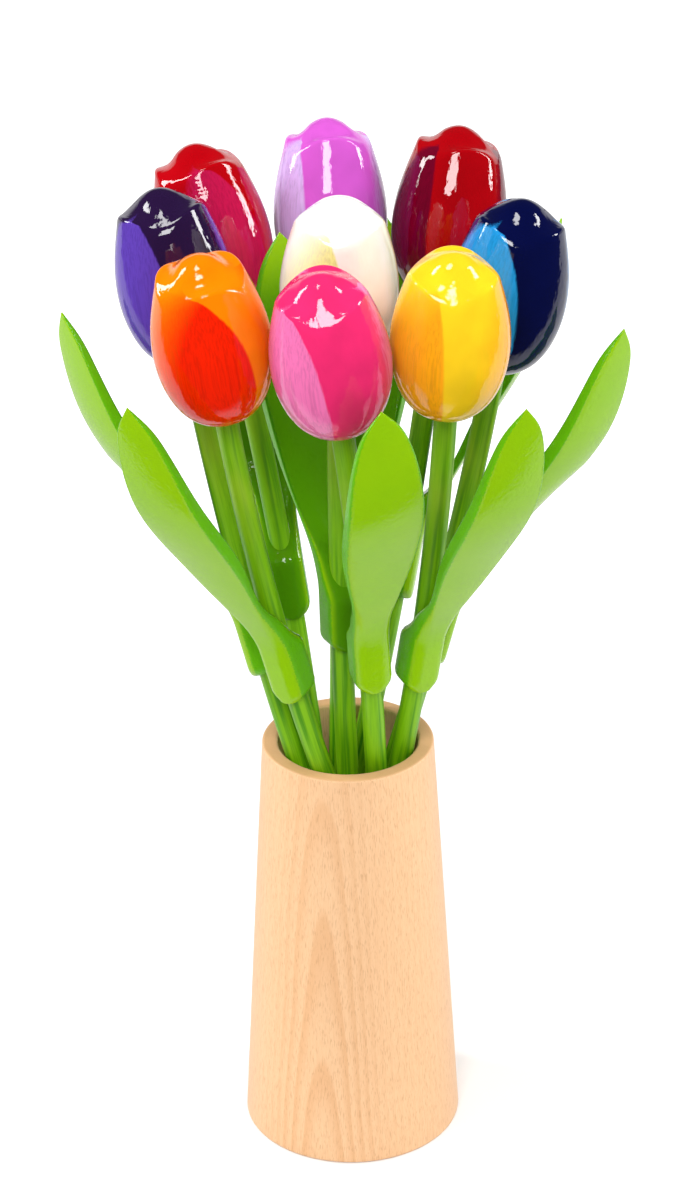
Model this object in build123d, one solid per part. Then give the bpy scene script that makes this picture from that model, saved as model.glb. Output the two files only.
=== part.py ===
from build123d import *
import os
from math import asin, cos, degrees, radians, sin, tan

# Nine painted wooden tulips standing loose in a turned beech vase.
# Millimetres, +Z up. The origin is the middle of the vase's underside,
# and the bunch faces -Y. Each tulip is a head, a stem and a leaf.

# Vase: a straight cone, bored from the top for a share of a tulip's length
vase_height = 180.0
vase_foot_diameter = 91.0
vase_rim_diameter = 70.4
vase_edge_radius = 1.2
bore_diameter = 57.6
bore_share = 0.265
bore_corner_radius = 3.0

# Tulip, measured along its stem from the foot to the top of the head
tulip_length = 340.0
stem_diameter = 9.0
stem_end_chamfer = 0.6

# Head: an egg with a dome on top, and petals that stand up around the dome
head_length = 73.0
head_diameter = 45.6
dome_diameter = 19.0
dome_height = 6.2
skirt_slope_degrees = 49.0
petal_count = 3
petal_width = 38.0
petal_arch_height = 24.0
petal_drop = 5.0
petal_tilt_degrees = 17.0
socket_depth = 14.0

# Leaf, measured square to its collar
leaf_height = 168.0
leaf_width = 30.6
leaf_reach = 40.0
blade_thickness = 5.0
tip_thickness = 3.4
collar_width = 15.4
collar_depth = 15.0
collar_height = 25.0
collar_corner_radius = 4.0
collar_edge_radius = 1.5

# Clearances, and the overrun of every cut
glue_gap = 0.1
stand_gap = 0.3
wall_gap = 0.5
overrun = 5.0

# The egg from its bottom to the petal tips, as shares of the head's radius
# and length, and the radius at the top of the blank
egg_shares = [(0.64, 0.09), (0.90, 0.24), (1.00, 0.44), (0.92, 0.67), (0.72, 0.90)]
egg_top_share = 0.58

# The leaf's outer face above its neck, as shares of the reach past the collar
# and of the leaf's height
neck_share = 0.14
outer_face_shares = [(0.20, 0.30), (0.57, 0.50), (0.92, 0.70)]

# The scoop between blade and collar, as shares of the collar's depth and of
# the leaf's height
scoop_shares = [(0.15, 0.245), (-0.10, 0.20)]

# The leaf's outline above its waist, as shares of its half width and height
waist_share = 0.22
outline_shares = [(0.62, 0.33), (0.85, 0.45), (1.00, 0.60), (0.93, 0.77), (0.72, 0.88), (0.42, 0.95)]

# Where each tulip stands. Foot and rim are polar places of the stem, on the
# bore's floor and at the vase's rim: a share of the room that the bore leaves
# to a stem's centre, and an azimuth in degrees. The bow is the azimuth that
# the stem bends to and how far it turns, in degrees. Then come the azimuths of
# the leaf and of one petal, and the collar's place as a share of the stem.
place_shares = {
    "purple": ((0.69, 291), (1.00, 206), (-5, 9.5), 174, 90, 0.49),
    "red": ((0.57, 240), (0.69, 157), (-162, 8.4), 90, -62, 0.53),
    "lilac": ((0.29, 190), (0.62, 102), (126, 8.1), 62, -82, 0.48),
    "white": ((0.22, 307), (0.27, 264), (-58, 8.0), 120, -30, 0.52),
    "dark_red": ((0.64, 139), (1.00, 67), (146, 8.2), -11, -76, 0.54),
    "blue": ((0.76, 99), (1.00, 15), (156, 9.6), -6, 90, 0.49),
    "orange": ((0.80, 330), (1.00, 242), (-15, 12.7), -124, 45, 0.49),
    "pink": ((0.50, 12), (0.88, 302), (-152, 8.0), -71, 90, 0.50),
    "yellow": ((0.59, 62), (1.00, 341), (-174, 9.2), -59, 90, 0.48),
}

vase_foot_radius = vase_foot_diameter / 2
vase_rim_radius = vase_rim_diameter / 2
bore_radius = bore_diameter / 2
bore_depth = tulip_length * bore_share
floor_height = vase_height - bore_depth
stem_radius = stem_diameter / 2
stem_length = tulip_length - head_length
head_radius = head_diameter / 2
dome_radius = dome_diameter / 2
collar_face = collar_depth / 2
room_radius = bore_radius - stem_radius - wall_gap
glued_radius = stem_radius + glue_gap
standing = (Align.CENTER, Align.CENTER, Align.MIN)


def vase():
    """The turned cone with its blind bore and all its round edges softened."""
    cone = Cone(vase_foot_radius, vase_rim_radius, vase_height, align=standing)
    bore = Cylinder(bore_radius, bore_depth + overrun, align=standing)
    bore = fillet(bore.edges().sort_by(Axis.Z)[0], bore_corner_radius)
    body = cone - Pos(0, 0, floor_height) * bore
    rings = body.edges().filter_by(GeomType.CIRCLE).group_by(Axis.Z)
    return fillet(rings[0] + rings[-1], vase_edge_radius)


def turned(outline):
    """The solid that a closed outline in the XZ plane turns about Z."""
    return revolve(make_face(Plane.XZ * outline), Axis.Z)


def egg():
    """The turned blank of a head, with spare length above the petals."""
    points = [(head_radius * wide, head_length * high) for wide, high in egg_shares]
    top = (head_radius * egg_top_share, head_length + overrun)
    side = Spline((0, 0), *points, top, tangents=((1, 0), Vector(top) - Vector(points[-1])))
    return turned(side + Polyline(top, (0, top[1]), (0, 0)))


def dome():
    """The dome and the cone that falls away below it to beyond the egg."""
    peak = (0, head_length)
    edge = (dome_radius, head_length - dome_height)
    skirt_radius = head_radius + overrun
    skirt_fall = (skirt_radius - dome_radius) * tan(radians(skirt_slope_degrees))
    skirt = (skirt_radius, edge[1] - skirt_fall)
    cap = TangentArc(peak, edge, tangent=(1, 0))
    return turned(cap + Polyline(edge, skirt, (skirt_radius, -overrun), (0, -overrun), peak))


def petals():
    """The arches behind the petals' lips. Each drops inwards and meets the dome."""
    tilt = radians(petal_tilt_degrees)
    tip_radius = head_radius * egg_shares[-1][0]
    tip_run = (tip_radius + petal_arch_height * sin(tilt)) / cos(tilt)
    rise = petal_arch_height * cos(tilt) + tip_run * sin(tilt)
    middle = (0, 0, head_length - petal_drop - rise)
    arch_plane = Plane(middle, x_dir=(0, 1, 0), z_dir=(cos(tilt), 0, sin(tilt)))
    arch = extrude(arch_plane * Ellipse(petal_width / 2, petal_arch_height), tip_run + head_radius)
    return [Rot(0, 0, turn) * arch for turn in range(0, 360, 360 // petal_count)]


def head():
    """A head standing on the origin, with one petal towards +X and its socket below."""
    form = dome()
    for arch in petals():
        form += arch
    socket = Cylinder(glued_radius, overrun + socket_depth + glue_gap, align=standing)
    return (egg() & form) - Pos(0, 0, -overrun) * socket


def leaf_side():
    """The leaf's side view as a slab: collar, scoop and outward bent blade."""
    outwards = leaf_reach - collar_face
    neck = (collar_face, leaf_height * neck_share)
    outer = [(collar_face + outwards * out, leaf_height * high) for out, high in outer_face_shares]
    inner = [(out - blade_thickness, high) for out, high in reversed(outer)]
    scoop = [(collar_depth * out, leaf_height * high) for out, high in scoop_shares]
    tip = (leaf_reach, leaf_height)
    inner_tip = (leaf_reach - tip_thickness, leaf_height)
    heel = (-collar_face, collar_height)
    outline = Spline(neck, *outer, tip, tangents=((0, 1), Vector(tip) - Vector(outer[-1])))
    outline += Line(tip, inner_tip)
    outline += Spline(inner_tip, *inner, *scoop, heel)
    outline += Polyline(heel, (-collar_face, 0), (collar_face, 0), neck)
    side = make_face(outline)
    side = fillet(side.vertices().sort_by(Axis.Y)[:2], collar_edge_radius)
    return extrude(Plane.XZ * side, leaf_width, both=True)


def leaf_front():
    """The leaf's front view as a slab: a straight collar below a long oval blade."""
    collar_half = collar_width / 2
    waist = (collar_half, leaf_height * waist_share)
    points = [(leaf_width / 2 * wide, leaf_height * high) for wide, high in outline_shares]
    tip = (0, leaf_height)
    half = Spline(waist, *points, tip, tangents=((0, 1), Vector(tip) - Vector(points[-1])))
    half += Polyline(tip, (0, 0), (collar_half, 0), waist)
    half = make_face(half)
    corner = half.vertices().sort_by(Axis.Y)[:2].sort_by(Axis.X)[-1]
    half = fillet(corner, collar_corner_radius)
    front = half + mirror(half, Plane.YZ)
    return extrude(Plane.YZ * front, leaf_reach + collar_depth, both=True)


def leaf():
    """A leaf with its collar's underside on the origin, pointing to +X, not yet bored."""
    return leaf_side() & leaf_front()


def arc_plane(distance, bend_radius):
    """The plane square to a stem at a distance from its foot. The stem leaves
    the origin upwards and bends to +X."""
    turn = distance / bend_radius
    place = (bend_radius - bend_radius * cos(turn), 0, bend_radius * sin(turn))
    return Plane(place, x_dir=(cos(turn), 0, -sin(turn)), z_dir=(sin(turn), 0, cos(turn)))


def rod(radius, length, bend_radius):
    """A round rod along a stem's arc, from its foot."""
    bend_axis = Axis((bend_radius, 0, 0), (0, 1, 0))
    return revolve(Circle(radius), bend_axis, revolution_arc=degrees(length / bend_radius))


def stem(bend_radius):
    """The bent dowel from its chamfered foot to its straight end inside the head."""
    dowel = rod(stem_radius, stem_length, bend_radius)
    dowel = chamfer(dowel.edges().sort_by(Axis.Z)[0], stem_end_chamfer)
    end = Cylinder(stem_radius, socket_depth, align=standing)
    return dowel + arc_plane(stem_length, bend_radius) * end


def polar(radius, azimuth, height):
    """A point at a distance from the vase's axis, an azimuth and a height."""
    turn = radians(azimuth)
    return Vector(radius * cos(turn), radius * sin(turn), height)


def stance(foot, rim, bow_azimuth, bend_radius):
    """The plane of a standing tulip: its foot, Z up the stem and X the way it bends."""
    foot_share, foot_azimuth = foot
    rim_share, rim_azimuth = rim
    foot_point = polar(room_radius * foot_share, foot_azimuth, floor_height)
    rim_point = polar(room_radius * rim_share, rim_azimuth, vase_height)
    lean = (rim_point - foot_point).get_angle(Vector(0, 0, 1))
    foot_point += Vector(0, 0, stand_gap + stem_radius * sin(radians(lean)))
    chord = rim_point - foot_point
    along = chord.normalized()
    across = polar(1, bow_azimuth, 0)
    across = (across - along * across.dot(along)).normalized()
    half_turn = asin(chord.length / 2 / bend_radius)
    up = along * cos(half_turn) - across * sin(half_turn)
    bend_side = across * cos(half_turn) + along * sin(half_turn)
    return Plane(foot_point, x_dir=bend_side, z_dir=up)


def tulip(colour):
    """The three pieces of one tulip in their places in the vase, by node name."""
    foot, rim, bow, leaf_azimuth, petal_azimuth, collar_share = place_shares[colour]
    bow_azimuth, bow_degrees = bow
    bend_radius = stem_length / radians(bow_degrees)
    place = stance(foot, rim, bow_azimuth, bend_radius)
    top = arc_plane(stem_length, bend_radius) * Rot(0, 0, petal_azimuth - bow_azimuth)
    collar = arc_plane(stem_length * collar_share, bend_radius) * Rot(0, 0, leaf_azimuth - bow_azimuth)
    pieces = {
        "head": top * head(),
        "stem": stem(bend_radius),
        "leaf": collar * leaf() - rod(glued_radius, stem_length, bend_radius),
    }
    return {f"{colour}_{name}": place * piece for name, piece in pieces.items()}


nodes = {"vase": vase()}
for colour in place_shares:
    nodes.update(tulip(colour))

os.makedirs("parts", exist_ok=True)
for name, piece in nodes.items():
    export_step(piece, f"parts/{name}.step")
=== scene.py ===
"""Nine painted wooden tulips standing loose in a turned beech vase."""

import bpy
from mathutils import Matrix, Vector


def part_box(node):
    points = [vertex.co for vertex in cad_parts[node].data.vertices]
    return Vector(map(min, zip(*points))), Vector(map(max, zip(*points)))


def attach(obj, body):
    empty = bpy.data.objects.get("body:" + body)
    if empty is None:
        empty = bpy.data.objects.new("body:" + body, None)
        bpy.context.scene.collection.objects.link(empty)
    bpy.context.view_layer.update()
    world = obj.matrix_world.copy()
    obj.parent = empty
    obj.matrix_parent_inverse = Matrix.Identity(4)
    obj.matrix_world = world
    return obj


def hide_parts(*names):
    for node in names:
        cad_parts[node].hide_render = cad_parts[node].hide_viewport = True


bl_info = {
    "name": "Wooden tulips in a vase",
    "version": (1, 0, 0),
    "blender": (4, 5, 0),
    "location": "3D View > Sidebar > Tulips",
    "description": "Makes a turned beech vase and the nine painted wooden tulips that stand in it",
    "category": "Add Mesh",
}

from math import asin, atan, cos, degrees, pi, radians, sin, sqrt, tan

import bpy
import numpy as np
from mathutils import Matrix, Vector

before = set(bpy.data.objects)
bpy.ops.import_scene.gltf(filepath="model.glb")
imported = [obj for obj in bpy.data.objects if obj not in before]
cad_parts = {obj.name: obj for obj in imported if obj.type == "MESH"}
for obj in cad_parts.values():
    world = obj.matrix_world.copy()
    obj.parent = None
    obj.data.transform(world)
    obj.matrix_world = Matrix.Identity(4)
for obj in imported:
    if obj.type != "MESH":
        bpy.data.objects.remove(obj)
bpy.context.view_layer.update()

mm = 0.001
vase_low, vase_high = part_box("vase")

# Where each tulip stands. Foot and rim are polar places of the stem, on the
# bore's floor and at the vase's rim: a share of the room that the bore leaves
# to a stem's centre, and an azimuth in degrees. The bow is the azimuth that
# the stem bends to and how many degrees it bends by. Then come the azimuths of
# the leaf and of one petal, and the collar's place as a share of the stem.
place_shares = {
    "purple": ((0.69, 291), (1.00, 206), (-5, 9.5), 174, 90, 0.49),
    "red": ((0.57, 240), (0.69, 157), (-162, 8.4), 90, -62, 0.53),
    "lilac": ((0.29, 190), (0.62, 102), (126, 8.1), 62, -82, 0.48),
    "white": ((0.22, 307), (0.27, 264), (-58, 8.0), 120, -30, 0.52),
    "dark_red": ((0.64, 139), (1.00, 67), (146, 8.2), -11, -76, 0.54),
    "blue": ((0.76, 99), (1.00, 15), (156, 9.6), -6, 90, 0.49),
    "orange": ((0.80, 330), (1.00, 242), (-15, 12.7), -124, 45, 0.49),
    "pink": ((0.50, 12), (0.88, 302), (-152, 8.0), -71, 90, 0.50),
    "yellow": ((0.59, 62), (1.00, 341), (-174, 9.2), -59, 90, 0.48),
}

# The second tone's brush strokes on each head: the azimuth of a stroke's tip,
# and how far it spreads to the left and to the right of it, in degrees
petal_strokes = {
    "purple": ((-137, 60, 48), (2, 28, 60), (110, 40, 50)),
    "red": ((-94, 22, 64), (30, 50, 50), (140, 50, 60)),
    "lilac": ((-144, 60, 30), (-10, 32, 60), (100, 40, 60)),
    "white": ((-122, 60, 42), (-10, 30, 50), (110, 40, 50)),
    "dark_red": ((-131, 60, 18), (-18, 26, 60), (105, 50, 50)),
    "blue": ((-138, 60, 56), (2, 24, 60), (110, 40, 50)),
    "orange": ((-122, 75, 76), (0, 40, 60), (110, 40, 50)),
    "pink": ((-150, 60, 57), (0, 28, 60), (110, 40, 50)),
    "yellow": ((-120, 70, 24), (-26, 46, 60), (110, 50, 50)),
}

# Over how many degrees a stroke thins out on its left: at a brush's edge, and where it is more
brush_edge = 14
stroke_fades = {"orange": 75, "yellow": 60, "white": 60, "lilac": 25}

# How many degrees a leaf's blade is turned against its collar, counter-clockwise from above
blade_turns = {"purple": 38, "blue": -38}

# Where a head's heart lies, as a share of its length, and how far out the
# petals' tips stand, as a share of its radius. The heart is the point that the
# head's shape is measured from.
heart_share = 0.6
tip_share = 0.72

# The gouge's mark behind each petal's lip, as seen from the heart: how high it
# lies, half its height and half its width, and how gently its edge begins
gouge_rise = radians(64)
gouge_height = radians(13)
gouge_width = radians(21)
gouge_softness = 1.2

# Along a leaf, as shares of its height: where the blade's sharp edges take over
# from the collar's round ones, where a turned blade turns, and where the tip
# thins, with the room each of them takes
edge_start, edge_run = 0.17, 0.2
turn_start, turn_run = 0.2, 0.4
tip_start, tip_run = 0.9, 0.1
tip_thinning = 0.8

# The studio lamps: place, width, height and power. All of them shine at the heads.
lamps_aim = (0, 0, 0.33)
lamps = {
    "key_box": ((-0.12, -1.15, 1.35), 0.5, 0.55, 13),
    "top_box": ((-0.25, -0.25, 1.5), 0.25, 0.25, 2.5),
    "right_box": ((1.15, 0.15, 0.85), 0.2, 0.9, 9),
    "left_box": ((-1.1, 0.25, 0.9), 0.2, 0.9, 9),
}


def length(name, description, size):
    """A length that the panel shows in the scene's unit."""
    looks = dict(min=0, precision=4, subtype="DISTANCE", unit="LENGTH")
    return bpy.props.FloatProperty(name=name, description=description, default=size, **looks)


def tone(name, description, ink):
    """A colour written as a painter's six digits, kept as light."""
    parts = [int(ink[place : place + 2], 16) / 255 for place in (0, 2, 4)]
    light = [part / 12.92 if part < 0.04045 else ((part + 0.055) / 1.055) ** 2.4 for part in parts]
    looks = dict(size=3, min=0, max=1, subtype="COLOR")
    return bpy.props.FloatVectorProperty(name=name, description=description, default=light, **looks)


def angle(name, description, turn):
    """An angle, written in degrees and kept in radians."""
    looks = dict(subtype="ANGLE", unit="ROTATION")
    return bpy.props.FloatProperty(name=name, description=description, default=radians(turn), **looks)


class VaseSettings(bpy.types.PropertyGroup):
    height: length("Height", "From the foot to the rim", vase_high.z - vase_low.z)
    foot_diameter: length("Foot", "Diameter across the foot", vase_high.x - vase_low.x)
    rim_diameter: length("Rim", "Diameter across the rim", 70.4 * mm)
    edge_radius: length("Edges", "Radius of the foot's and the rim's edges", 1.2 * mm)
    bore_diameter: length("Bore", "Diameter of the bore", 57.6 * mm)
    bore_depth: length("Depth", "Depth of the bore", 90.1 * mm)
    bore_corner: length("Corner", "Radius at the bottom of the bore", 3 * mm)
    wall_gap: length("Wall gap", "Air between a leaning stem and the bore", 0.5 * mm)
    stand_gap: length("Stand gap", "Air between a stem's foot and the bore's floor", 0.3 * mm)
    ring_width: length("Rings", "Width of one year's growth", 3.3 * mm)
    pith_distance: length("Pith", "From the vase's axis to the middle of the tree", 72 * mm)
    pith_azimuth: angle("Pith's azimuth", "Where the middle of the tree lay, seen from the axis", -107)
    wood: tone("Beech", "The sanded wood", "f8cda0")
    late_wood: tone("Late wood", "The darker part of each ring", "e2a873")
    fleck: tone("Flecks", "The short rays of beech", "b9784a")
    end_wood: tone("End wood", "The rim and the bore's floor", "d6a473")


class TulipSettings(bpy.types.PropertyGroup):
    length: length("Tulip", "From the foot of the stem to the petals' tips", 340 * mm)
    stem_diameter: length("Stem", "Diameter of the dowel", 9 * mm)
    stem_chamfer: length("Chamfer", "Chamfer at the dowel's foot", 0.6 * mm)
    head_length: length("Head", "Length of a head", 73 * mm)
    head_diameter: length("Head's width", "Diameter of a head", 45.6 * mm)
    scoop_depth: length("Scoops", "Depth of the hollow behind each petal's lip", 0.7 * mm)
    socket_depth: length("Socket", "How deep the stem stands in the head", 14 * mm)
    petal_tilt: angle("Tilt", "How far a petal's lip rises inwards", 8)
    petal_width: length("Petal", "Width of a petal's arch", 38 * mm)
    petal_arch: length("Arch", "Height of a petal's arch", 24 * mm)
    petal_drop: length("Drop", "How far the petals' tips lie below the dome", 6.5 * mm)
    lip_softness: length("Lips", "How far the knife rounds a petal's lip", 1.5 * mm)
    hill_softness: length("Hill", "How softly the petals run into the middle", 4.5 * mm)
    leaf_height: length("Leaf", "Height of a leaf from its collar's underside", 168 * mm)
    leaf_width: length("Leaf's width", "Width of the blade", 30.6 * mm)
    leaf_reach: length("Reach", "From the stem's axis to the leaf's tip", 40 * mm)
    blade_thickness: length("Blade", "Thickness of the blade", 5 * mm)
    tip_thickness: length("Tip", "Thickness of the leaf's tip", 3.4 * mm)
    collar_width: length("Collar", "Width of the collar", 15.4 * mm)
    collar_depth: length("Collar's depth", "Depth of the collar", 15 * mm)
    collar_height: length("Collar's height", "Height of the collar at its back", 25 * mm)
    collar_corner: length("Corner", "Radius of the collar's lower corners", 6 * mm)
    collar_edge: length("Collar's edges", "Radius of the collar's edges", 4.5 * mm)
    edge_radius: length("Edges", "Radius of a leaf's edges", 0.9 * mm)
    leaf_crown: length("Crown", "How far the blade's outer face swells", 1.6 * mm)


class PaintSettings(bpy.types.PropertyGroup):
    stem: tone("Stems", "Green stain of the dowels", "80bc08")
    stem_dark: tone("Stems' grain", "Dark streaks of the dowels", "489004")
    stem_light: tone("Stems' light", "Yellow streaks of the dowels", "b0cc30")
    leaf: tone("Leaves", "Broad faces of the leaves", "92c108")
    # The darker green on the leaves' inner faces is painted shade, for the shadow among the stems
    leaf_inner_shade: tone("Leaves' insides", "Faces of the leaves towards the stems", "357e08")
    leaf_side: tone("Leaves' sides", "Narrow faces of the leaves", "62b00c")
    purple: tone("Purple", "Main tone", "241038")
    purple_petal: tone("Purple's petals", "Second tone", "5a3ca8")
    red: tone("Red", "Main tone", "b4000c")
    red_petal: tone("Red's petals", "Second tone", "bc1448")
    lilac: tone("Lilac", "Main tone", "d65ccf")
    lilac_petal: tone("Lilac's petals", "Second tone", "d4b0ec")
    white: tone("White", "Main tone", "fbf8ee")
    white_petal: tone("White's petals", "Second tone", "e6ec92")
    dark_red: tone("Dark red", "Main tone", "a8000a")
    dark_red_petal: tone("Dark red's petals", "Second tone", "6a0020")
    blue: tone("Blue", "Main tone", "02073a")
    blue_petal: tone("Blue's petals", "Second tone", "2090d8")
    orange: tone("Orange", "Main tone", "ff8200")
    orange_petal: tone("Orange's petals", "Second tone", "f02000")
    pink: tone("Pink", "Main tone", "ec2c6e")
    pink_petal: tone("Pink's petals", "Second tone", "ee74b0")
    yellow: tone("Yellow", "Main tone", "ffd020")
    yellow_petal: tone("Yellow's petals", "Second tone", "ffa818")


class StageSettings(bpy.types.PropertyGroup):
    camera_distance: length("Distance", "From the vase's axis to the camera, over the floor", 1425 * mm)
    camera_height: length("Height", "Height of the camera", 992.4 * mm)
    camera_pitch: angle("Pitch", "How far the camera looks down", 27.71)
    camera_yaw: angle("Yaw", "How far the camera looks to the right", -0.05)
    camera_roll: angle("Roll", "How far the camera leans", -0.79)
    floor_width: length("Floor", "Width of the floor", 8000 * mm)


# Shapes


def smooth_line(points, first=None, last=None, steps=12):
    """Points along a fair curve through the given ones, with the directions given for its ends."""
    points = np.array(points, float)
    spans = np.linalg.norm(np.diff(points, axis=0), axis=1)
    count = len(points)
    system = np.zeros((count, count))
    wanted = np.zeros_like(points)
    for i in range(1, count - 1):
        before, after = spans[i - 1], spans[i]
        system[i, i - 1 : i + 2] = after, 2 * (before + after), before
        wanted[i] = 3 * (
            (points[i] - points[i - 1]) * after / before + (points[i + 1] - points[i]) * before / after
        )
    for end, towards, direction, span in ((0, 1, first, spans[0]), (-1, -2, last, spans[-1])):
        system[end, end] = 1
        if direction is None:
            system[end, towards] = 0.5
            wanted[end] = 1.5 * (points[1] - points[0] if end == 0 else points[-1] - points[-2]) / span
        else:
            wanted[end] = np.array(direction, float) / np.linalg.norm(direction)
    slopes = np.linalg.solve(system, wanted)
    line = []
    for i, span in enumerate(spans):
        for t in np.arange(steps) / steps:
            line.append(
                (2 * t**3 - 3 * t**2 + 1) * points[i]
                + (t**3 - 2 * t**2 + t) * span * slopes[i]
                + (3 * t**2 - 2 * t**3) * points[i + 1]
                + (t**3 - t**2) * span * slopes[i + 1]
            )
    return np.array(line + [points[-1]])


def corner(centre, radius, start, end, steps=6):
    """Points of a round corner, from one angle in degrees to another."""
    turns = np.radians(np.linspace(start, end, steps + 1))
    return [(centre[0] + radius * cos(turn), centre[1] + radius * sin(turn)) for turn in turns]


def shell(name, rings, places=None):
    """A closed skin over rings of points. Its first and last ring are shut by a point in their middle."""
    count, around = rings.shape[:2]
    ends = rings[[0, -1]].mean(axis=1)
    points = np.vstack([rings.reshape(-1, 3), ends])
    step = np.arange(around)
    after = (step + 1) % around
    faces = []
    for row in range(count - 1):
        low, high = row * around, (row + 1) * around
        faces += np.column_stack([low + step, low + after, high + after, high + step]).tolist()
    bottom, top = count * around, count * around + 1
    last = (count - 1) * around
    faces += np.column_stack([after, step, np.full(around, bottom)]).tolist()
    faces += np.column_stack([last + step, last + after, np.full(around, top)]).tolist()
    mesh = bpy.data.meshes.new(name)
    mesh.from_pydata(points.tolist(), [], faces)
    if places is None:
        places = rings
    places = np.vstack([places.reshape(-1, 3), places[[0, -1]].mean(axis=1)])
    keep_places(mesh, places)
    mesh.shade_smooth()
    return mesh


def keep_places(mesh, places):
    """Keeps each point's place on its own piece, for the paint to read."""
    layer = mesh.attributes.new("own_place", "FLOAT_VECTOR", "POINT")
    layer.data.foreach_set("vector", np.asarray(places, np.float32).ravel())


def piece(name, mesh, place, body, node, material):
    """Sets a finished mesh in its place in the bunch, on its body and in its node's stead."""
    mesh.transform(place)
    mesh.materials.clear()
    mesh.materials.append(material)
    made = bpy.data.objects.new(name, mesh)
    bpy.context.scene.collection.objects.link(made)
    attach(made, body)
    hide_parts(node)
    return made


def lathe(outline, around=160):
    """Rings of points round the Z axis, one for each point of an outline."""
    turns = np.arange(around) * 2 * pi / around
    outline = np.array(outline, float)
    across, up = outline[:, :1], outline[:, 1:]
    return np.stack([across * np.cos(turns), across * np.sin(turns), up * np.ones(around)], axis=-1)


def vase_outline(vase):
    """The vase's wall from the middle of the foot, up outside and down the bore."""
    foot, rim, bore = vase.foot_diameter / 2, vase.rim_diameter / 2, vase.bore_diameter / 2
    edge = vase.edge_radius
    slope = atan((foot - rim) / vase.height)
    lean = degrees(slope)
    rim_tangent = edge * tan((pi / 2 - slope) / 2)
    outline = [(foot * share, 0) for share in (0.02, 0.5, 0.93)]
    outline += corner((foot - edge * tan(pi / 4 + slope / 2), edge), edge, -90, lean)
    for share in (0.015, 0.1, 0.3, 0.5, 0.7, 0.9, 0.985):
        outline.append((foot + (rim - foot) * share, vase.height * share))
    outline += corner((rim - rim_tangent, vase.height - edge), edge, lean, 90)
    outline += corner((bore + edge, vase.height - edge), edge, 90, 180)
    floor = vase.height - vase.bore_depth
    outline += [(bore, floor + vase.bore_depth * share) for share in (0.97, 0.6, 0.3, 0.05)]
    outline += corner((bore - vase.bore_corner, floor + vase.bore_corner), vase.bore_corner, 0, -90)
    outline += [(bore * share, floor) for share in (0.85, 0.5, 0.02)]
    return outline


def egg_outline(tulip):
    """The turned blank of a head, from its bottom to above the petals' tips."""
    radius, height = tulip.head_diameter / 2, tulip.head_length
    shares = [(0, 0), (0.64, 0.09), (0.90, 0.24), (1.00, 0.44), (0.92, 0.67), (0.72, 0.90), (0.58, 1.07)]
    points = [(radius * wide, height * high) for wide, high in shares]
    rising = (points[-1][0] - points[-2][0], points[-1][1] - points[-2][1])
    return smooth_line(points, (1, 0), rising)


def dome_outline(tulip):
    """The dome between the petals and the slope that falls away below it."""
    radius, height = tulip.head_diameter / 2, tulip.head_length
    shares = ((0, 0), (0.15, 0.009), (0.35, 0.044), (0.55, 0.094), (0.80, 0.166), (1.2, 0.30))
    points = [(radius * wide, height * (1 - deep)) for wide, deep in shares]
    slope = smooth_line(points, (1, 0), (points[-1][0] - points[-2][0], points[-1][1] - points[-2][1]))
    return np.vstack([slope, [(radius * 1.2, -5 * mm), (0, -5 * mm)]])


def reach(outline, heart, rise):
    """How far a turned outline lies from a head's heart along lines of a given rise."""
    across, up = outline[:, 0], outline[:, 1] - heart
    angles = np.arctan2(up, across)
    order = np.argsort(angles)
    return np.interp(rise, angles[order], np.hypot(across, up)[order])


def arch_reach(tulip, heart, sight, turn):
    """How far one petal's arch lies from a head's heart along lines of sight."""
    tilt = tulip.petal_tilt
    tip_radius = tulip.head_diameter / 2 * tip_share
    run = (tip_radius + tulip.petal_arch * sin(tilt)) / cos(tilt)
    middle = tulip.head_length - tulip.petal_drop - tulip.petal_arch * cos(tilt) - run * sin(tilt)
    outwards = sight @ np.array((cos(tilt) * cos(turn), cos(tilt) * sin(turn), sin(tilt)))
    sideways = sight @ np.array((-sin(turn), cos(turn), 0))
    upwards = sight @ np.array((-sin(tilt) * cos(turn), -sin(tilt) * sin(turn), cos(tilt)))
    above = (heart - middle) * cos(tilt)
    behind = (heart - middle) * sin(tilt)
    half_width, height = tulip.petal_width / 2, tulip.petal_arch
    square = (sideways / half_width) ** 2 + (upwards / height) ** 2 + 1e-9
    linear = above * upwards / height**2
    crossing = (-linear + np.sqrt(linear**2 + square * (1 - (above / height) ** 2))) / square
    back = np.where(outwards < 0, behind / np.maximum(-outwards, 1e-9), tulip.head_length)
    return np.minimum(np.minimum(crossing, back), 2 * tulip.head_length)


def soft_max(one, other, soft):
    """The larger of two values, with the change from one to the other rounded."""
    share = np.clip(0.5 + (one - other) / (2 * soft), 0, 1)
    return other + (one - other) * share + soft * share * (1 - share)


def scoop_share(rise, turn):
    """How deep the gouge has gone behind a petal's lip, as a share of its full depth."""
    inwards = (rise - gouge_rise) / gouge_height
    sideways = np.remainder(turn + pi, 2 * pi) - pi
    sideways = sideways * np.cos(rise) / gouge_width
    inside = np.clip(1 - inwards**2 - sideways**2, 0, 1)
    return inside**gouge_softness


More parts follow.
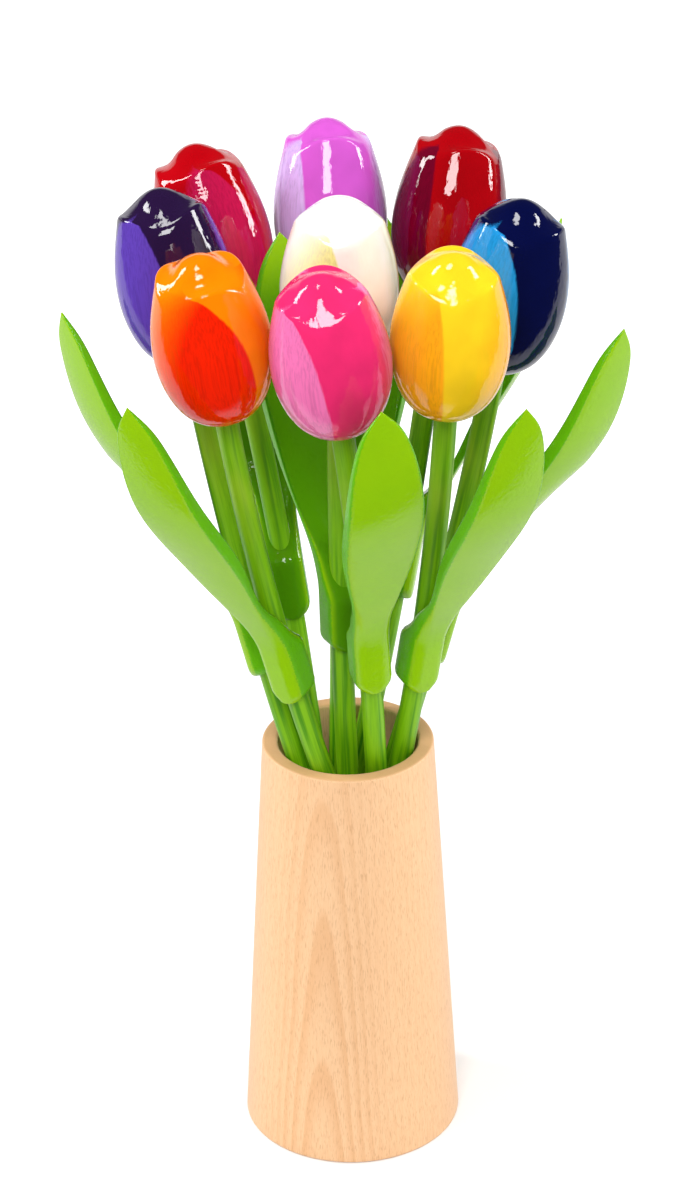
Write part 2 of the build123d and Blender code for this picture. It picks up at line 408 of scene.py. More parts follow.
def head_mesh(tulip):
    """A head with its underside on the origin, one petal towards +X."""
    heart = tulip.head_length * heart_share
    around = 168
    petals = [petal * 2 * pi / 3 for petal in range(3)]
    # The rows lie closer together over the carved top
    plain, carved = np.linspace(-89.2, 30, 70), np.linspace(31, 89.2, 74)
    rises = np.radians(np.concatenate([plain, carved]))
    turns = np.arange(around) * 2 * pi / around
    rise, turn = np.meshgrid(rises, turns, indexing="ij")
    sight = np.stack([np.cos(rise) * np.cos(turn), np.cos(rise) * np.sin(turn), np.sin(rise)], axis=-1)
    egg = reach(egg_outline(tulip), heart, rise)
    form = reach(dome_outline(tulip), heart, rise)
    for petal in petals:
        form = soft_max(form, arch_reach(tulip, heart, sight, petal), tulip.hill_softness)
    for petal in petals:
        form = form - tulip.scoop_depth * scoop_share(rise, turn - petal)
    far = -soft_max(-egg, -form, tulip.lip_softness)
    rings = sight * far[..., None] + np.array((0, 0, heart))
    return shell("head", rings)


def leaf_lines(tulip):
    """The leaf's outer face, inner face and half width, each as heights and sizes along it."""
    face = tulip.collar_depth / 2
    outwards = tulip.leaf_reach - face
    high = tulip.leaf_height
    outer = [(face + outwards * out, high * up) for out, up in ((0.20, 0.30), (0.57, 0.50), (0.92, 0.70))]
    tip = (tulip.leaf_reach, high)
    outer_line = smooth_line(
        [(face, high * 0.14)] + outer + [tip], (0, 1), (tip[0] - outer[-1][0], tip[1] - outer[-1][1])
    )
    inner = [(out - tulip.blade_thickness, up) for out, up in outer]
    scoop = [(tulip.collar_depth * -0.10, high * 0.20), (tulip.collar_depth * 0.15, high * 0.245)]
    inner_line = smooth_line(
        [(-face, tulip.collar_height)] + scoop + inner + [(tulip.leaf_reach - tulip.tip_thickness, high)]
    )
    shares = ((0.62, 0.33), (0.85, 0.45), (1.00, 0.60), (0.93, 0.77), (0.72, 0.88), (0.42, 0.95))
    half = [(tulip.leaf_width / 2 * wide, high * up) for wide, up in shares]
    waist = (tulip.collar_width / 2, high * 0.22)
    width_line = smooth_line([waist] + half + [(0, high)], (0, 1), (-half[-1][0], high - half[-1][1]))
    return outer_line, inner_line, width_line


def leaf_section(half_width, half_depth, edge, crown):
    """Points round a slice of the leaf, counter-clockwise from its outer face."""
    edge = min(edge, half_width * 0.8, half_depth * 0.8)
    points = []
    for quarter, (out, side) in enumerate(((1, 1), (-1, 1), (-1, -1), (1, -1))):
        centre = (out * (half_depth - edge), side * (half_width - edge))
        points += corner(centre, edge, quarter * 90, quarter * 90 + 90, 5)
        if quarter % 2 == 0:
            flat = half_depth - edge
            points += [(out * flat * share, side * half_width) for share in (0.5, -0.5)]
        else:
            flat = half_width - edge
            points += [(out * half_depth, side * flat * share) for share in np.linspace(0.75, -0.75, 7)]
    points = np.array(points)
    outer = points[:, 0] > 0
    points[outer, 0] += crown * (1 - (points[outer, 1] / half_width) ** 2)
    return points


def way(place, start, run):
    """How much of the run from a start a place has behind it, from 0 to 1."""
    return min(1, max(0, (place - start) / run))


def leaf_mesh(tulip, blade_turn):
    """A leaf with its collar's underside on the origin, pointing to +X, with its blade turned."""
    outer_line, inner_line, width_line = leaf_lines(tulip)
    face, half_collar = tulip.collar_depth / 2, tulip.collar_width / 2
    high, edge, round_corner = tulip.leaf_height, tulip.edge_radius, tulip.collar_corner
    foot = round_corner * (1 - np.cos(np.linspace(0.12, pi / 2, 12)))
    body = np.linspace(round_corner, high * tip_start, 66)[1:]
    tip = high * (tip_start + 0.998 * tip_run * np.sin(np.linspace(0, pi / 2, 16)[1:]))
    rings, places = [], []
    for up in np.concatenate([foot, body, tip]):
        outer = np.interp(up, outer_line[:, 1], outer_line[:, 0])
        inner = np.interp(up, inner_line[:, 1], inner_line[:, 0], left=-face)
        half_width = np.interp(up, width_line[:, 1], width_line[:, 0])
        if up < round_corner:
            half_width = half_collar - round_corner + sqrt(round_corner**2 - (round_corner - up) ** 2)
        if up < edge:
            inset = edge - sqrt(edge**2 - (edge - up) ** 2)
            outer, inner = outer - inset, inner + inset
        half_depth = (outer - inner) / 2 * (1 - way(up / high, tip_start, tip_run) ** 2 * tip_thinning)
        crown = tulip.leaf_crown * (half_width / tulip.leaf_width * 2) ** 2
        corners = tulip.collar_edge + (edge - tulip.collar_edge) * way(up / high, edge_start, edge_run)
        middle = (outer + inner) / 2 - crown / 2
        turn = blade_turn * way(up / high, turn_start, turn_run)
        ring, own = [], []
        for out, side in leaf_section(half_width, half_depth, corners, crown):
            away = middle + out * cos(turn) - side * sin(turn)
            ring.append((away, side * cos(turn) + out * sin(turn), up))
            own.append((out / half_depth, side / max(half_width, edge), up / high))
        rings.append(ring)
        places.append(own)
    return shell("leaf", np.array(rings), np.array(places))


# The places of the nine tulips


def polar(radius, azimuth, height):
    """A point at a distance from the vase's axis, an azimuth and a height."""
    return Vector((radius * cos(radians(azimuth)), radius * sin(radians(azimuth)), height))


def axes(place, side, up):
    """The place of a piece whose X axis points to one side and whose Z axis points up."""
    return Matrix.Translation(place) @ Matrix((side, up.cross(side), up)).transposed().to_4x4()


def stance(vase, tulip, foot, rim, bow_azimuth, bend_radius):
    """The place of a standing tulip: its foot, Z up the stem and X the way it bends."""
    stem_radius = tulip.stem_diameter / 2
    room = vase.bore_diameter / 2 - stem_radius - vase.wall_gap
    foot_point = polar(room * foot[0], foot[1], vase.height - vase.bore_depth)
    rim_point = polar(room * rim[0], rim[1], vase.height)
    lean = (rim_point - foot_point).angle(Vector((0, 0, 1)))
    foot_point.z += vase.stand_gap + stem_radius * sin(lean)
    chord = rim_point - foot_point
    along = chord.normalized()
    across = polar(1, bow_azimuth, 0)
    across = (across - along * across.dot(along)).normalized()
    half_turn = asin(chord.length / 2 / bend_radius)
    up = along * cos(half_turn) - across * sin(half_turn)
    bend_side = across * cos(half_turn) + along * sin(half_turn)
    return axes(foot_point, bend_side, up)


def on_stem(distance, bend_radius, azimuth):
    """A place on a bent stem, turned about it from the side that the stem bends to."""
    turn = distance / bend_radius
    spot = Vector((bend_radius - bend_radius * cos(turn), 0, bend_radius * sin(turn)))
    side, up = Vector((cos(turn), 0, -sin(turn))), Vector((sin(turn), 0, cos(turn)))
    return axes(spot, side, up) @ Matrix.Rotation(radians(azimuth), 4, "Z")


def places_of(colour):
    """A tulip's bend radius, and the places of its stem, head and leaf."""
    scene = bpy.context.scene
    vase, tulip = scene.vase_settings, scene.tulip_settings
    foot, rim, bow, leaf_azimuth, petal_azimuth, collar_share = place_shares[colour]
    bow_azimuth, bow_degrees = bow
    stem_length = tulip.length - tulip.head_length
    bend_radius = stem_length / radians(bow_degrees)
    stem = stance(vase, tulip, foot, rim, bow_azimuth, bend_radius)
    head = stem @ on_stem(stem_length, bend_radius, petal_azimuth - bow_azimuth)
    leaf = stem @ on_stem(stem_length * collar_share, bend_radius, leaf_azimuth - bow_azimuth)
    return bend_radius, stem, head, leaf


# Node trees


def add(tree, kind, inputs=None, **settings):
    """A new node with its settings made, and each input given a value or joined to an output."""
    made = tree.nodes.new(kind)
    for name, value in settings.items():
        setattr(made, name, value)
    for socket, value in (inputs or {}).items():
        if isinstance(value, bpy.types.NodeSocket):
            tree.links.new(value, made.inputs[socket])
        else:
            made.inputs[socket].default_value = value
    return made


def calc(tree, operation, *values, clamp=False):
    """The result of a sum."""
    made = add(tree, "ShaderNodeMath", dict(enumerate(values)), operation=operation, use_clamp=clamp)
    return made.outputs[0]


def stretch(tree, place, along):
    """A place with its height scaled, to draw a pattern out lengthwise."""
    scaled = add(tree, "ShaderNodeVectorMath", {0: place, 1: (1, 1, along)}, operation="MULTIPLY")
    return scaled.outputs[0]


def noise(tree, place, scale, detail=2.0, roughness=0.5):
    """Soft random values about a half."""
    values = {"Vector": place, "Scale": scale, "Detail": detail, "Roughness": roughness}
    return add(tree, "ShaderNodeTexNoise", values).outputs["Fac"]


def ramp(tree, value, low, high):
    """A value's way from one limit to another as 0 to 1, with soft ends."""
    values = {"Value": value, "From Min": low, "From Max": high}
    return add(tree, "ShaderNodeMapRange", values, interpolation_type="SMOOTHSTEP").outputs["Result"]


def opaque(colour):
    """A tone as a node's socket takes it."""
    return (*colour, 1.0)


def blend(tree, share, one, other):
    """Two tones mixed by a share."""
    made = add(tree, "ShaderNodeMix", {0: share, 6: one, 7: other}, data_type="RGBA", blend_type="MIX")
    return made.outputs[2]


def tinted(tree, ground, tint, share, most):
    """A ground with a tint over it, by a share of the most that it may cover."""
    return blend(tree, calc(tree, "MULTIPLY", share, most), ground, opaque(tint))


def own_place(tree):
    """The place of a point on its own piece, before the piece was set in the bunch."""
    kept = add(tree, "ShaderNodeAttribute", attribute_name="own_place", attribute_type="GEOMETRY")
    return kept.outputs["Vector"]


def new_finish(name):
    """A new material and its tree, with a shader in it."""
    material = bpy.data.materials.new(name)
    material.use_nodes = True
    tree = material.node_tree
    shader = tree.nodes["Principled BSDF"]
    return material, tree, shader


def gloss(shader, values):
    """Sets how matt or glossy a shader is, on its own sockets."""
    for name, value in values.items():
        shader.inputs[name].default_value = value


def bump(tree, height, strength, distance):
    """A surface's fine relief."""
    values = {"Height": height, "Strength": strength, "Distance": distance}
    return add(tree, "ShaderNodeBump", values).outputs["Normal"]


def beech(vase):
    """Bare sanded beech: soft rings, short dark flecks, and darker end wood."""
    ring_wander = 7 * mm
    plain_distance, marked_distance = 46 * mm, 31 * mm
    material, tree, shader = new_finish("sanded_beech")
    place = add(tree, "ShaderNodeTexCoord").outputs["Object"]
    pith = polar(vase.pith_distance, degrees(vase.pith_azimuth), 0)
    wander = noise(tree, stretch(tree, place, 0.3), 18.0, 2.0)
    flat = add(tree, "ShaderNodeVectorMath", {0: place, 1: (1, 1, 0)}, operation="MULTIPLY").outputs[0]
    across = add(tree, "ShaderNodeVectorMath", {0: flat, 1: pith}, operation="DISTANCE").outputs["Value"]
    wavy = calc(tree, "MULTIPLY_ADD", wander, ring_wander, across)
    year = calc(tree, "FRACT", calc(tree, "DIVIDE", wavy, vase.ring_width))
    late = calc(tree, "MULTIPLY", ramp(tree, year, 0.2, 0.85), ramp(tree, year, 1.0, 0.88))
    flecks = ramp(tree, noise(tree, stretch(tree, place, 0.08), 2900.0, 1.0), 0.56, 0.68)
    pores = noise(tree, stretch(tree, place, 0.05), 3000.0, 2.0)
    cloud = noise(tree, stretch(tree, place, 0.3), 30.0, 3.0)
    # The rings show most at the front, where the wall cuts them lengthwise
    marked = ramp(tree, across, plain_distance, marked_distance)
    flat_sawn = calc(tree, "MULTIPLY_ADD", marked, 0.4, 0.1)
    colour = tinted(tree, opaque(vase.wood), vase.late_wood, late, flat_sawn)
    colour = tinted(tree, colour, vase.late_wood, cloud, 0.35)
    colour = tinted(tree, colour, vase.late_wood, ramp(tree, pores, 0.35, 0.75), 0.3)
    colour = tinted(tree, colour, vase.fleck, flecks, 0.32)
    facing = add(tree, "ShaderNodeNewGeometry").outputs["Normal"]
    upright = add(tree, "ShaderNodeSeparateXYZ", {0: facing}).outputs["Z"]
    level = ramp(tree, calc(tree, "ABSOLUTE", upright), 0.55, 0.9)
    colour = tinted(tree, colour, vase.end_wood, level, 0.75)
    tree.links.new(colour, shader.inputs["Base Color"])
    gloss(shader, {"Roughness": 0.42, "Specular IOR Level": 0.35})
    grain = calc(tree, "SUBTRACT", calc(tree, "MULTIPLY", pores, 0.4), flecks)
    tree.links.new(bump(tree, grain, 0.12, 0.1 * mm), shader.inputs["Normal"])
    return material


def stroke_group():
    """A node group that marks one painted petal, with a sharp right edge and a brushed left one."""
    right_stray, left_stray = 0.05, 0.3
    group = bpy.data.node_groups.new("petal_stroke", "ShaderNodeTree")
    sockets = (("Place", "NodeSocketVector"), ("High", "NodeSocketFloat"), ("Brush", "NodeSocketFloat"))
    sockets += tuple((name, "NodeSocketFloat") for name in ("Tip", "Left", "Right", "Fade"))
    for name, kind in sockets:
        group.interface.new_socket(name, in_out="INPUT", socket_type=kind)
    group.interface.new_socket("Mark", in_out="OUTPUT", socket_type="NodeSocketFloat")
    given = group.nodes.new("NodeGroupInput").outputs
    backwards = calc(group, "MULTIPLY", given["Tip"], -1.0)
    spot = {"Vector": given["Place"], "Angle": backwards}
    turned = add(group, "ShaderNodeVectorRotate", spot, rotation_type="Z_AXIS")
    parts = add(group, "ShaderNodeSeparateXYZ", {0: turned.outputs[0]}).outputs
    turn = calc(group, "ARCTAN2", parts["Y"], parts["X"])
    curve = add(group, "ShaderNodeFloatCurve", {"Value": given["High"]})
    spread = curve.mapping.curves[0]
    spread.points[0].location = (0.0, 0.84)
    spread.points[1].location = (1.0, 0.0)
    for place, share in ((0.2, 1.0), (0.45, 0.98), (0.65, 0.88), (0.8, 0.66), (0.88, 0.42), (0.93, 0.0)):
        spread.points.new(place, share)
    curve.mapping.update()
    reach_share = curve.outputs[0]
    jitter = calc(group, "SUBTRACT", given["Brush"], 0.5)
    right = calc(group, "MULTIPLY_ADD", reach_share, given["Right"], calc(group, "MULTIPLY", turn, -1.0))
    right = calc(group, "MULTIPLY_ADD", jitter, right_stray, right)
    left = calc(group, "MULTIPLY_ADD", reach_share, given["Left"], turn)
    left = calc(group, "MULTIPLY_ADD", jitter, left_stray, left)
    faded = calc(group, "DIVIDE", left, given["Fade"], clamp=True)
    mark = calc(group, "MULTIPLY", ramp(group, right, -0.01, 0.05), faded)
    mark = calc(group, "MULTIPLY", mark, ramp(group, given["High"], 0.93, 0.91))
    add(group, "NodeGroupOutput", {"Mark": mark})
    return group


def lacquered(colour, group):
    """Two or three brushed tones under thick glossy lacquer."""
    tulip, paint = bpy.context.scene.tulip_settings, bpy.context.scene.paint_settings
    main, second = getattr(paint, colour), getattr(paint, f"{colour}_petal")
    material, tree, shader = new_finish(f"lacquer_{colour}")
    place = own_place(tree)
    up = add(tree, "ShaderNodeSeparateXYZ", {0: place}).outputs["Z"]
    high = calc(tree, "DIVIDE", up, tulip.head_length)
    brush = noise(tree, stretch(tree, place, 0.012), 1300.0, 2.0, 0.6)
    cloud = noise(tree, place, 45.0, 2.0)
    petal_azimuth = place_shares[colour][4]
    marks = 0.0
    for tip, left, right in petal_strokes[colour]:
        values = {"Place": place, "High": high, "Brush": brush}
        values.update(Tip=radians(tip - petal_azimuth), Left=radians(left), Right=radians(right))
        values["Fade"] = radians(stroke_fades.get(colour, brush_edge))
        stroke = add(tree, "ShaderNodeGroup", values, node_tree=group)
        marks = calc(tree, "MAXIMUM", marks, stroke.outputs["Mark"])
    deep = [part * 0.62 for part in main]
    dark = [part * 0.7 for part in second]
    petal = tinted(tree, opaque(second), dark, ramp(tree, brush, 0.6, 0.3), 0.6)
    ground = tinted(tree, opaque(main), deep, ramp(tree, cloud, 0.35, 0.75), 0.45)
    tones = blend(tree, marks, ground, petal)
    tree.links.new(tones, shader.inputs["Base Color"])
    gloss(shader, {"Roughness": 0.6, "Specular IOR Level": 0.0})
    gloss(shader, {"Coat Weight": 1.0, "Coat Roughness": 0.025, "Coat IOR": 1.52})
    lumps = noise(tree, stretch(tree, place, 0.6), 200.0, 2.0, 0.6)
    lines = calc(tree, "MULTIPLY_ADD", brush, 0.08, lumps)
    relief = bump(tree, lines, 0.38, 0.6 * mm)
    tree.links.new(relief, shader.inputs["Normal"])
    tree.links.new(relief, shader.inputs["Coat Normal"])
    return material


def stem_green(paint):
    """Green stain over the dowel's own grain, with a satin lacquer."""
    material, tree, shader = new_finish("stem_green")
    place = own_place(tree)
    streak = noise(tree, stretch(tree, place, 0.03), 420.0, 3.0, 0.6)
    fine = noise(tree, stretch(tree, place, 0.03), 1800.0, 2.0)
    cloud = noise(tree, stretch(tree, place, 0.25), 60.0, 2.0)
    colour = blend(tree, ramp(tree, streak, 0.42, 0.68), opaque(paint.stem), opaque(paint.stem_dark))
    colour = tinted(tree, colour, paint.stem_light, ramp(tree, cloud, 0.5, 0.72), 0.6)
    colour = tinted(tree, colour, paint.stem_dark, ramp(tree, fine, 0.5, 0.8), 0.35)
    tree.links.new(colour, shader.inputs["Base Color"])
    gloss(shader, {"Roughness": 0.5, "Specular IOR Level": 0.2})
    gloss(shader, {"Coat Weight": 0.3, "Coat Roughness": 0.12})
    tree.links.new(bump(tree, fine, 0.15, 0.15 * mm), shader.inputs["Normal"])
    return material


def leaf_green(paint):
    """Green paint under lacquer, thicker along the narrow sides, and darker towards the stem as painted
    shade.
    """
    material, tree, shader = new_finish("leaf_green")
    place = own_place(tree)
    parts = add(tree, "ShaderNodeSeparateXYZ", {0: place}).outputs
    solid = add(tree, "ShaderNodeTexCoord").outputs["Object"]
    rough = noise(tree, solid, 1400.0, 2.0, 0.7)
    cloud = noise(tree, solid, 40.0, 2.0)
    stray = calc(tree, "SUBTRACT", rough, 0.5)
    sideways = calc(tree, "ABSOLUTE", parts["Y"])
    rim = calc(tree, "MULTIPLY_ADD", stray, 0.16, sideways)
    side = ramp(tree, rim, 0.93, 0.965)
    face = tinted(tree, opaque(paint.leaf), paint.leaf_side, cloud, 0.3)
    colour = blend(tree, side, face, opaque(paint.leaf_side))
    # Painted shade: the faces towards the stem are darkened, but not near the lit tip
    low = calc(tree, "MULTIPLY", ramp(tree, parts["Z"], 0.98, 0.8), 0.8)
    colour = tinted(tree, colour, paint.leaf_inner_shade, ramp(tree, parts["X"], -0.6, -0.95), low)
    tree.links.new(colour, shader.inputs["Base Color"])
    gloss(shader, {"Roughness": 0.55, "Specular IOR Level": 0.0})
    gloss(shader, {"Coat Weight": 0.75, "Coat Roughness": 0.06})
    thick = calc(tree, "MULTIPLY", rough, ramp(tree, rim, 0.86, 0.98))
    lumps = calc(tree, "MULTIPLY_ADD", noise(tree, solid, 600.0, 1.0), 0.6, thick)
    relief = bump(tree, lumps, 0.55, 0.4 * mm)
    tree.links.new(relief, shader.inputs["Normal"])
    tree.links.new(relief, shader.inputs["Coat Normal"])
    return material


def dowel_tree(material):
    """Geometry nodes that turn a straight dowel, chamfer its foot and bend it to +X."""
    tree = bpy.data.node_groups.new("bent_dowel", "GeometryNodeTree")
    for name in ("Length", "Diameter", "Chamfer", "Bend radius"):
        tree.interface.new_socket(name, in_out="INPUT", socket_type="NodeSocketFloat")
    tree.interface.new_socket("Geometry", in_out="OUTPUT", socket_type="NodeSocketGeometry")
    given = tree.nodes.new("NodeGroupInput").outputs
    top = add(tree, "ShaderNodeCombineXYZ", {"Z": given["Length"]}).outputs[0]
    line = add(tree, "GeometryNodeCurvePrimitiveLine", {"End": top}).outputs[0]
    line = add(tree, "GeometryNodeResampleCurve", {"Curve": line, "Count": 220}).outputs[0]
    spot = add(tree, "GeometryNodeInputPosition").outputs[0]
    high = add(tree, "ShaderNodeSeparateXYZ", {0: spot}).outputs["Z"]
    radius = calc(tree, "MULTIPLY", given["Diameter"], 0.5)
    narrow = calc(tree, "SUBTRACT", given["Chamfer"], high)
    narrow = calc(tree, "MAXIMUM", narrow, 0.0)
    thick = calc(tree, "SUBTRACT", radius, narrow)
    section = add(tree, "GeometryNodeCurvePrimitiveCircle", {"Resolution": 32, "Radius": 1.0}).outputs[0]
    line = add(tree, "GeometryNodeSetCurveRadius", {"Curve": line, "Radius": thick}).outputs[0]
    sweep = {"Curve": line, "Profile Curve": section, "Scale": thick, "Fill Caps": True}
    rod = add(tree, "GeometryNodeCurveToMesh", sweep).outputs[0]
    values = {"Geometry": rod, "Name": "own_place", "Value": spot}
    kept = add(tree, "GeometryNodeStoreNamedAttribute", values, data_type="FLOAT_VECTOR", domain="POINT")
    parts = add(tree, "ShaderNodeSeparateXYZ", {0: spot}).outputs
    turn = calc(tree, "DIVIDE", parts["Z"], given["Bend radius"])
    inner = calc(tree, "SUBTRACT", given["Bend radius"], parts["X"])
    held_back = calc(tree, "MULTIPLY", inner, calc(tree, "COSINE", turn))
    bent_x = calc(tree, "SUBTRACT", given["Bend radius"], held_back)
    bent_z = calc(tree, "MULTIPLY", inner, calc(tree, "SINE", turn))
    bent = add(tree, "ShaderNodeCombineXYZ", {"X": bent_x, "Y": parts["Y"], "Z": bent_z}).outputs[0]
    moved = add(tree, "GeometryNodeSetPosition", {"Geometry": kept.outputs[0], "Position": bent}).outputs[0]
    smooth = add(tree, "GeometryNodeSetShadeSmooth", {"Geometry": moved}).outputs[0]
    real = add(tree, "GeometryNodeRealizeInstances", {"Geometry": smooth}).outputs[0]
    painted = add(tree, "GeometryNodeSetMaterial", {"Geometry": real, "Material": material}).outputs[0]
    add(tree, "NodeGroupOutput", {"Geometry": painted})
    return tree


def made_by_nodes(tree, sizes):
    """The plain mesh that a geometry node tree makes with these sizes."""
    holder = bpy.data.objects.new("holder", bpy.data.meshes.new("holder"))
    bpy.context.scene.collection.objects.link(holder)
    modifier = holder.modifiers.new("nodes", "NODES")
    modifier.node_group = tree
    sockets = {s.name: s.identifier for s in tree.interface.items_tree if s.in_out == "INPUT"}
    for name, size in sizes.items():
        modifier[sockets[name]] = size
    bpy.context.view_layer.update()
    evaluated = holder.evaluated_get(bpy.context.evaluated_depsgraph_get())
    mesh = bpy.data.meshes.new_from_object(evaluated)
    holder.modifiers.clear()
    bpy.data.objects.remove(holder)
    return mesh


# Operators


class MakeVase(bpy.types.Operator):
    """Turn the vase and bore it"""

    bl_idname = "tulips.make_vase"
    bl_label = "Turn the vase"

    def execute(self, context):
        vase = context.scene.vase_settings
        mesh = shell("beech_vase", lathe(vase_outline(vase)))
        piece("beech_vase", mesh, Matrix(), "vase", "vase", beech(vase))
        return {"FINISHED"}


class MakeStems(bpy.types.Operator):
    """Bend the nine dowels and stand them in the vase"""

    bl_idname = "tulips.make_stems"
    bl_label = "Bend the stems"

    def execute(self, context):
        tulip = context.scene.tulip_settings
        green = stem_green(context.scene.paint_settings)
        tree = dowel_tree(green)
        for colour in place_shares:
            bend_radius, place, _, _ = places_of(colour)
            sizes = {
                "Length": tulip.length - tulip.head_length + tulip.socket_depth,
                "Diameter": tulip.stem_diameter,
                "Chamfer": tulip.stem_chamfer,
                "Bend radius": bend_radius,
            }
            mesh = made_by_nodes(tree, sizes)
            if not mesh.polygons:
                raise RuntimeError(f"the {colour} stem came out empty")
            piece(f"{colour}_dowel", mesh, place, f"{colour}_tulip", f"{colour}_stem", green)
        return {"FINISHED"}


class MakeLeaves(bpy.types.Operator):
    """Carve a leaf for each tulip and set its collar on the stem"""

    bl_idname = "tulips.make_leaves"
    bl_label = "Carve the leaves"

    def execute(self, context):
        green = leaf_green(context.scene.paint_settings)
        for colour in place_shares:
            place = places_of(colour)[3]
            mesh = leaf_mesh(context.scene.tulip_settings, radians(blade_turns.get(colour, 0)))
            piece(f"{colour}_blade", mesh, place, f"{colour}_tulip", f"{colour}_leaf", green)
        return {"FINISHED"}


class MakeHeads(bpy.types.Operator):
    """Turn, carve and paint the nine heads"""

    bl_idname = "tulips.make_heads"
    bl_label = "Carve and paint the heads"

    def execute(self, context):
        group = stroke_group()
        for colour in place_shares:
            place = places_of(colour)[2]
            mesh = head_mesh(context.scene.tulip_settings)
            paint = lacquered(colour, group)
            piece(f"{colour}_bloom", mesh, place, f"{colour}_tulip", f"{colour}_head", paint)
        return {"FINISHED"}


def soft_box(name, place, aim, width, height, power):
    """A rectangular studio lamp that shines from a place towards a point."""
    lamp = bpy.data.lights.new(name, "AREA")
    lamp.shape = "RECTANGLE"
    lamp.size, lamp.size_y = width, height
    lamp.energy = power
    made = bpy.data.objects.new(name, lamp)
    turned = (Vector(aim) - Vector(place)).to_track_quat("-Z", "Y")
    made.matrix_world = Matrix.Translation(place) @ turned.to_matrix().to_4x4()
    bpy.context.scene.collection.objects.link(made)


def white_world():
    """A room that shows white and lights softly. The lacquer mirrors it dimly, but for a low bright back."""
    room_light, mirrored_dim, mirrored_bright = 0.54, 0.05, 1.0
    world = bpy.context.scene.world or bpy.data.worlds.new("room")
    bpy.context.scene.world = world
    world.use_nodes = True
    tree = world.node_tree
    tree.nodes.clear()
    rays = add(tree, "ShaderNodeLightPath").outputs
    towards = add(tree, "ShaderNodeTexCoord").outputs["Generated"]
    parts = add(tree, "ShaderNodeSeparateXYZ", {0: towards}).outputs
    back = calc(tree, "MULTIPLY_ADD", parts["Z"], -1.5, parts["Y"])
    more = mirrored_bright - mirrored_dim
    mirrored = calc(tree, "MULTIPLY_ADD", ramp(tree, back, 0.3, 0.7), more, mirrored_dim)
    shown = calc(tree, "MAXIMUM", rays["Is Camera Ray"], rays["Is Transmission Ray"])
    soft = calc(tree, "MULTIPLY_ADD", shown, 1 - room_light, room_light)
    strength = add(tree, "ShaderNodeMix", {0: rays["Is Glossy Ray"], 2: soft, 3: mirrored}).outputs[0]
    light = add(tree, "ShaderNodeBackground", {"Color": (1, 1, 1, 1), "Strength": strength})
    add(tree, "ShaderNodeOutputWorld", {"Surface": light.outputs[0]})


def pale_floor(stage):
    """A floor that shows white and keeps the soft shadow. The lacquer mirrors a round white table on it."""
    near_lift, far_lift = 0.14, 0.60
    near_distance, far_distance = 0.12, 0.7
    table_middle, table_radius, table_edge = (0, 1.6, 0), 1.68, 1.77
    table_light, mirrored_dim = 0.97, 0.05
    half = stage.floor_width / 2
    corners = [(-half, -half, 0), (half, -half, 0), (half, half, 0), (-half, half, 0)]
    mesh = bpy.data.meshes.new("floor")
    mesh.from_pydata(corners, [], [(0, 1, 2, 3)])
    material = bpy.data.materials.new("pale_floor")
    material.use_nodes = True
    tree = material.node_tree
    tree.nodes.clear()
    matt = add(tree, "ShaderNodeBsdfDiffuse", {"Color": (0.82, 0.82, 0.82, 1)})
    rays = add(tree, "ShaderNodeLightPath").outputs
    place = add(tree, "ShaderNodeTexCoord").outputs["Object"]
    away = add(tree, "ShaderNodeVectorMath", {0: place}, operation="LENGTH").outputs["Value"]
    far_share = ramp(tree, away, near_distance, far_distance)
    lift = calc(tree, "MULTIPLY_ADD", far_share, far_lift - near_lift, near_lift)
    glow = add(tree, "ShaderNodeEmission", {"Strength": calc(tree, "MULTIPLY", rays["Is Camera Ray"], lift)})
    both = add(tree, "ShaderNodeAddShader", {0: matt.outputs[0], 1: glow.outputs[0]})
    off_middle = add(tree, "ShaderNodeVectorMath", {0: place, 1: table_middle}, operation="DISTANCE")
    on_table = ramp(tree, off_middle.outputs["Value"], table_edge, table_radius)
    white = calc(tree, "MULTIPLY_ADD", on_table, table_light - mirrored_dim, mirrored_dim)
    table = add(tree, "ShaderNodeEmission", {"Strength": white})
    shares = {0: rays["Is Glossy Ray"], 1: both.outputs[0], 2: table.outputs[0]}
    seen = add(tree, "ShaderNodeMixShader", shares)
    add(tree, "ShaderNodeOutputMaterial", {"Surface": seen.outputs[0]})
    mesh.materials.append(material)
    made = bpy.data.objects.new("floor", mesh)
    bpy.context.scene.collection.objects.link(made)


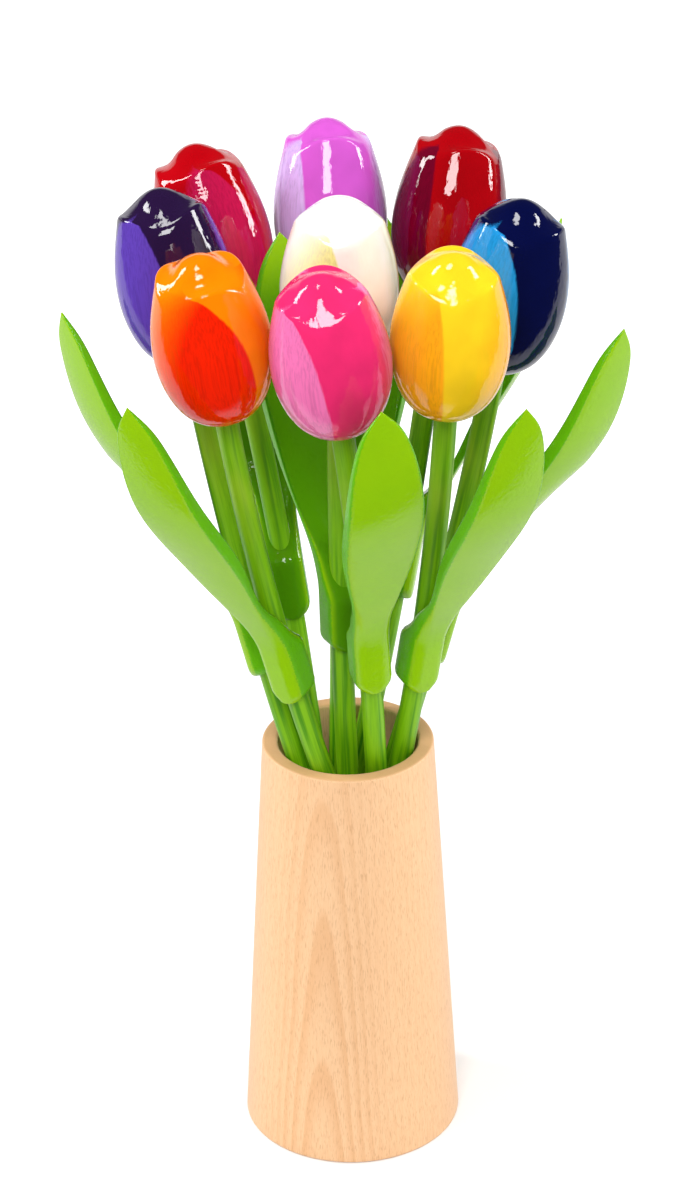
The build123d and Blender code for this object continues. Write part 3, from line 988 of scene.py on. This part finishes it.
def camera(stage):
    """The camera at the photograph's place, with its long lens."""
    pitch, yaw, roll = stage.camera_pitch, stage.camera_yaw, stage.camera_roll
    forward = Vector((sin(yaw) * cos(pitch), cos(yaw) * cos(pitch), -sin(pitch)))
    right = Vector((cos(yaw), -sin(yaw), 0))
    up = right.cross(forward)
    leant = right * cos(roll) + up * sin(roll)
    lens = bpy.data.cameras.new("camera")
    lens.sensor_fit = "VERTICAL"
    lens.sensor_height = 36
    lens.lens = 120
    made = bpy.data.objects.new("camera", lens)
    made.matrix_world = axes(Vector((0, -stage.camera_distance, stage.camera_height)), leant, -forward)
    bpy.context.scene.collection.objects.link(made)
    bpy.context.scene.camera = made


class MakeStage(bpy.types.Operator):
    """Set up the floor, the white room, the lamps and the camera"""

    bl_idname = "tulips.make_stage"
    bl_label = "Set up the stage"

    def execute(self, context):
        stage = context.scene.stage_settings
        white_world()
        pale_floor(stage)
        for name, (place, width, height, power) in lamps.items():
            soft_box(name, place, lamps_aim, width, height, power)
        camera(stage)
        context.scene.view_settings.view_transform = "Standard"
        return {"FINISHED"}


class TulipsPanel(bpy.types.Panel):
    bl_idname = "VIEW3D_PT_tulips"
    bl_label = "Wooden tulips"
    bl_space_type = "VIEW_3D"
    bl_region_type = "UI"
    bl_category = "Tulips"

    def draw(self, context):
        for settings in setting_groups:
            box = self.layout.box()
            group = getattr(context.scene, settings)
            for name in group.bl_rna.properties.keys():
                if name not in ("rna_type", "name"):
                    box.prop(group, name)
        for operator in operators:
            self.layout.operator(operator.bl_idname)


operators = (MakeStage, MakeVase, MakeStems, MakeLeaves, MakeHeads)
setting_groups = {
    "vase_settings": VaseSettings,
    "tulip_settings": TulipSettings,
    "paint_settings": PaintSettings,
    "stage_settings": StageSettings,
}


def register():
    for kind in (*setting_groups.values(), *operators, TulipsPanel):
        bpy.utils.register_class(kind)
    for name, kind in setting_groups.items():
        setattr(bpy.types.Scene, name, bpy.props.PointerProperty(type=kind))


def unregister():
    for name in setting_groups:
        delattr(bpy.types.Scene, name)
    for kind in reversed((*setting_groups.values(), *operators, TulipsPanel)):
        bpy.utils.unregister_class(kind)


def main():
    """Makes every piece in turn."""
    register()
    bpy.ops.tulips.make_stage()
    bpy.ops.tulips.make_vase()
    bpy.ops.tulips.make_stems()
    bpy.ops.tulips.make_leaves()
    bpy.ops.tulips.make_heads()
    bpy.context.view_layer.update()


if __name__ == "__main__":
    main()
